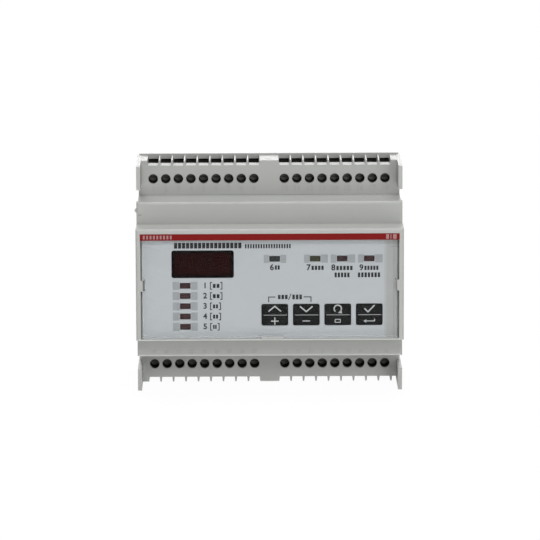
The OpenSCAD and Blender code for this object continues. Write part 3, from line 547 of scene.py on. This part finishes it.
def lamp_strips():
    """A darker strip on each side of every lamp."""
    strips = Plate("lamp_strips", film_y, "case", strip_mat)
    column_x = middle("unit_lamps")[0]
    places = [((column_x, z), COLUMN_STRIP) for z in lamp_levels]
    places += [(middle(name), ends) for name, ends in STATUS_STRIPS.items()]
    for (x, z), (left, right) in places:
        strips.bar(x - left, x - STRIP_START, z - STRIP_HALF, z + STRIP_HALF)
        strips.bar(x + STRIP_START, x + right, z - STRIP_HALF, z + STRIP_HALF)
    strips.build()


def bracket(ink, x, z, turn):
    """A square bracket, open to the right with turn 1 and to the left with turn -1."""
    tip = x + turn * 0.7
    ink.stroke([(tip, z + 1.3), (x, z + 1.3), (x, z - 1.4), (tip, z - 1.4)], 0.36)


def label_ink():
    """Rows of blocks, lamp numbers and the caption of the keys, in place of words."""
    ink = Plate("label_ink", film_y, "case", ink_mat)
    for row in HEADER_ROWS:
        ink.bars(*row)

    for i, (z, width) in enumerate(zip(lamp_levels, COLUMN_BRACKET_WIDTHS)):
        ink.number(str(i + 1), (COLUMN_NUMBER_X, z), 2.2)
        left, right = COLUMN_BRACKET_X, COLUMN_BRACKET_X + width
        bracket(ink, left, z, 1)
        bracket(ink, right, z, -1)
        ink.bars(left + 1.0, right - 1.0, z - 0.1, 1.6, 2, 0.72)

    for lamp, number, offset, z, rows in STATUS_CAPTIONS:
        x = middle(lamp)[0]
        ink.number(number, (x + offset, z), 2.3)
        for start, end, row_z, height, count in rows:
            ink.bars(x + start, x + end, row_z, height, count)

    z = KEY_CAPTION_Z
    foot = box_mm("up_key")[1][2] + 0.05
    for outer, inner in KEY_CAPTION_LINES:
        ink.stroke([(outer, foot), (outer, z), (inner, z)], 0.38)
    for start, end, height in KEY_CAPTION_ROWS:
        ink.bars(start, end, z, height, 3, 0.72)
    ink.stroke([(7.4, z - 1.2), (8.4, z + 1.3)], 0.34)
    ink.build()


def arrow_mark(mark, x, z, up):
    """An arrow head that points up with up 1 and down with up -1."""
    foot, tip = z - up * 1.0, z + up * 1.1
    mark.stroke([(x - 2.5, foot), (x, tip), (x + 2.5, foot)], KEY_LINE)


def up_marks(mark, x, upper, lower):
    """Arrow up and plus."""
    arrow_mark(mark, x, upper, 1)
    mark.prism(cross(x, lower, 1.5, 0.22))


def down_marks(mark, x, upper, lower):
    """Arrow down and minus."""
    arrow_mark(mark, x, upper, -1)
    mark.bar(x - 1.5, x + 1.5, lower - 0.2, lower + 0.2)


def turn_marks(mark, x, upper, lower):
    """Turning arrow and small frame."""
    mark.arc((x, upper), 1.45, KEY_LINE, -40, 230)
    mark.prism([(x + 0.1, upper - 1.7), (x + 1.7, upper - 1.9), (x + 1.4, upper - 0.4)])
    sides = (x - 1.2, lower - 0.75, x + 1.2, lower + 0.75)
    mark.ring(rounded(*sides, 0.3), rounded(*sides, 0.3, 0.3))


def tick_marks(mark, x, upper, lower):
    """Tick and return arrow."""
    mark.stroke([(x - 1.9, upper + 0.1), (x - 0.5, upper - 1.3), (x + 2.1, upper + 1.4)], KEY_LINE)
    shaft = lower - 0.1
    mark.stroke([(x + 2.1, lower + 0.8), (x + 2.1, shaft), (x - 1.4, shaft)], 0.35)
    mark.prism([(x - 2.3, shaft), (x - 1.2, lower - 0.8), (x - 1.2, lower + 0.6)])


def key_marks():
    """Plain signs above and below the line across each key."""
    signs = {"up_key": up_marks, "down_key": down_marks, "reset_key": turn_marks, "test_key": tick_marks}
    for name, draw in signs.items():
        low, high = box_mm(name)
        split = high[2] - KEY_SPLIT
        mark = Plate(f"{name}_mark", low[1], name, key_ink_mat)
        mark.bar(low[0] + 0.8, high[0] - 0.4, split - 0.09, split + 0.09)
        draw(mark, (low[0] + high[0]) / 2, (high[2] + split) / 2 - 0.1, (split + low[2]) / 2)
        mark.build()


def band_marks():
    """Plain bars at both ends of the band."""
    low, high = box_mm("red_band")
    marks = Plate("band_marks", low[1], "case", band_ink_mat)
    for start, width in BAND_BARS:
        marks.bar(high[0] - start, high[0] - start + width, low[2] + 0.35, high[2] - 0.3)
    marks.bars(low[0] + 1.2, low[0] + 12.6, (low[2] + high[2]) / 2, 1.5, 9, 0.55)
    marks.build()


def terminal_numbers():
    """Faint raised numbers beside the terminals, counted from the upper left."""
    ways = 9
    top_y = box_mm("terminal_cover_top")[0][1]
    count = 0
    for row, y, z, height in (("top", top_y, 33.8, 2.2), ("bottom", LOWER_SHOULDER_Y, -29.4, 1.3)):
        plate = Plate(f"numbers_{row}", y, "case", relief_mat, RELIEF)
        for side in ("left", "right"):
            low, high = box_mm(f"terminal_block_{row}_{side}")
            pitch = (high[0] - low[0]) / ways
            for i in range(ways):
                count += 1
                plate.number(str(count), (low[0] + (i + 0.5) * pitch, z), height)
        plate.build()


display_border()
label_end()
lamp_strips()
label_ink()
key_marks()
band_marks()
terminal_numbers()


# Floor, backdrop and lamps

FLOOR_GREY = 0.86     # colour of the floor
FLOOR_GLOW = 0.95     # share of plain white where it is seen directly
FLOOR_LIGHT = 0.25    # strength of the light that it gives
FLOOR_HALF = 3.0      # half its width

# Lamps: name, place, size and power. All point at AIM.
AIM = (0, -0.03, 0)
LAMPS = (
    ("top_lamp", (0, 0, 1.5), 1.4, 18.0),
    ("back_lamp", (0, 1.4, 0.6), 1.0, 7.0),
    ("front_lamp", (0, -1.25, 0.8), 0.6, 8.9),
    ("front_right_lamp", (0.5, -1.4, 0.3), 0.6, 4.8),
)


def seen_directly(tree):
    """1 for rays from the camera, mirror-like rays and rays through clear pieces, 0 after a matt face."""
    path = tree.nodes.new("ShaderNodeLightPath")
    total = path.outputs["Is Camera Ray"]
    for name in ("Is Glossy Ray", "Is Transmission Ray"):
        total = combine(tree, "MAXIMUM", total, path.outputs[name])
    fresh = combine(tree, "LESS_THAN", path.outputs["Diffuse Depth"], 0.5)
    return combine(tree, "MULTIPLY", total, fresh)


def stage():
    """White floor that still shows the shadow of the object."""
    floor_mat, tree, shader = new_material("floor_paper")
    shader.inputs["Base Color"].default_value = (FLOOR_GREY, FLOOR_GREY, FLOOR_GREY, 1)
    shader.inputs["Roughness"].default_value = 0.9
    shader.inputs["Emission Color"].default_value = WHITE
    shader.inputs["Emission Strength"].default_value = FLOOR_LIGHT
    glow = tree.nodes.new("ShaderNodeEmission")
    glow.inputs["Color"].default_value = WHITE
    glow.inputs["Strength"].default_value = 1.0
    share = combine(tree, "MULTIPLY", seen_directly(tree), FLOOR_GLOW)
    show_mix(tree, "Material Output", share, shader.outputs["BSDF"], glow.outputs["Emission"])
    level = cad_box[0][2]
    corners = ((-1, -1), (1, -1), (1, 1), (-1, 1))
    mesh = bpy.data.meshes.new("floor")
    mesh.from_pydata([(x * FLOOR_HALF, y * FLOOR_HALF, level) for x, y in corners], [], [[0, 1, 2, 3]])
    mesh.materials.append(floor_mat)
    floor = bpy.data.objects.new("floor", mesh)
    bpy.context.scene.collection.objects.link(floor)


def backdrop():
    """A dark room that the camera sees as white, and whose back clear and shiny pieces show as white."""
    world = bpy.data.worlds.new("studio")
    bpy.context.scene.world = world
    world.use_nodes = True
    tree = world.node_tree
    room = tree.nodes["Background"]
    white = tree.nodes.new("ShaderNodeBackground")
    for background, strength in ((room, 0.0), (white, 1.0)):
        background.inputs["Color"].default_value = WHITE
        background.inputs["Strength"].default_value = strength
    path = tree.nodes.new("ShaderNodeLightPath")
    direction = axes(tree, tree.nodes.new("ShaderNodeTexCoord").outputs["Generated"])
    behind = combine(tree, "MULTIPLY", seen_directly(tree), fade(tree, direction["Y"], -0.1, 0.2))
    share = combine(tree, "MAXIMUM", path.outputs["Is Camera Ray"], behind)
    show_mix(tree, "World Output", share, room.outputs["Background"], white.outputs["Background"])


def area_light(name, place, size, power):
    """A round soft lamp, not seen through the clear cover."""
    data = bpy.data.lights.new(name, "AREA")
    data.shape = "DISK"
    data.size = size
    data.energy = power
    lamp = bpy.data.objects.new(name, data)
    lamp.location = place
    lamp.visible_transmission = False
    lamp.rotation_euler = (Vector(AIM) - Vector(place)).to_track_quat("-Z", "Y").to_euler()
    bpy.context.scene.collection.objects.link(lamp)


stage()
backdrop()
for name, place, size, power in LAMPS:
    area_light(name, place, size, power)


# Camera as in the photograph: angles, distance and target in metres, and a lens in millimetres

YAW = math.radians(0.347)
DOWN = math.radians(10.5)
ROLL = math.radians(-0.203)
DISTANCE = 1.7
FOCAL_LENGTH = 281.7
TARGET = Vector((0.23, -25.0, 0.852)) * MM


def camera():
    """A long lens in front of the object and a little above it, with a slight yaw and roll."""
    forward = Vector((math.sin(YAW) * math.cos(DOWN), math.cos(YAW) * math.cos(DOWN), -math.sin(DOWN)))
    level = Vector((math.cos(YAW), -math.sin(YAW), 0))
    raised = level.cross(forward)
    right = math.cos(ROLL) * level + math.sin(ROLL) * raised
    up = -math.sin(ROLL) * level + math.cos(ROLL) * raised
    data = bpy.data.cameras.new("camera")
    data.sensor_width = 36
    data.lens = FOCAL_LENGTH
    data.clip_end = 20
    cam = bpy.data.objects.new("camera", data)
    place = Matrix((right, up, -forward)).transposed().to_4x4()
    place.translation = TARGET - forward * DISTANCE
    cam.matrix_world = place
    bpy.context.scene.collection.objects.link(cam)
    bpy.context.scene.camera = cam


camera()
bpy.context.scene.view_settings.view_transform = "Standard"
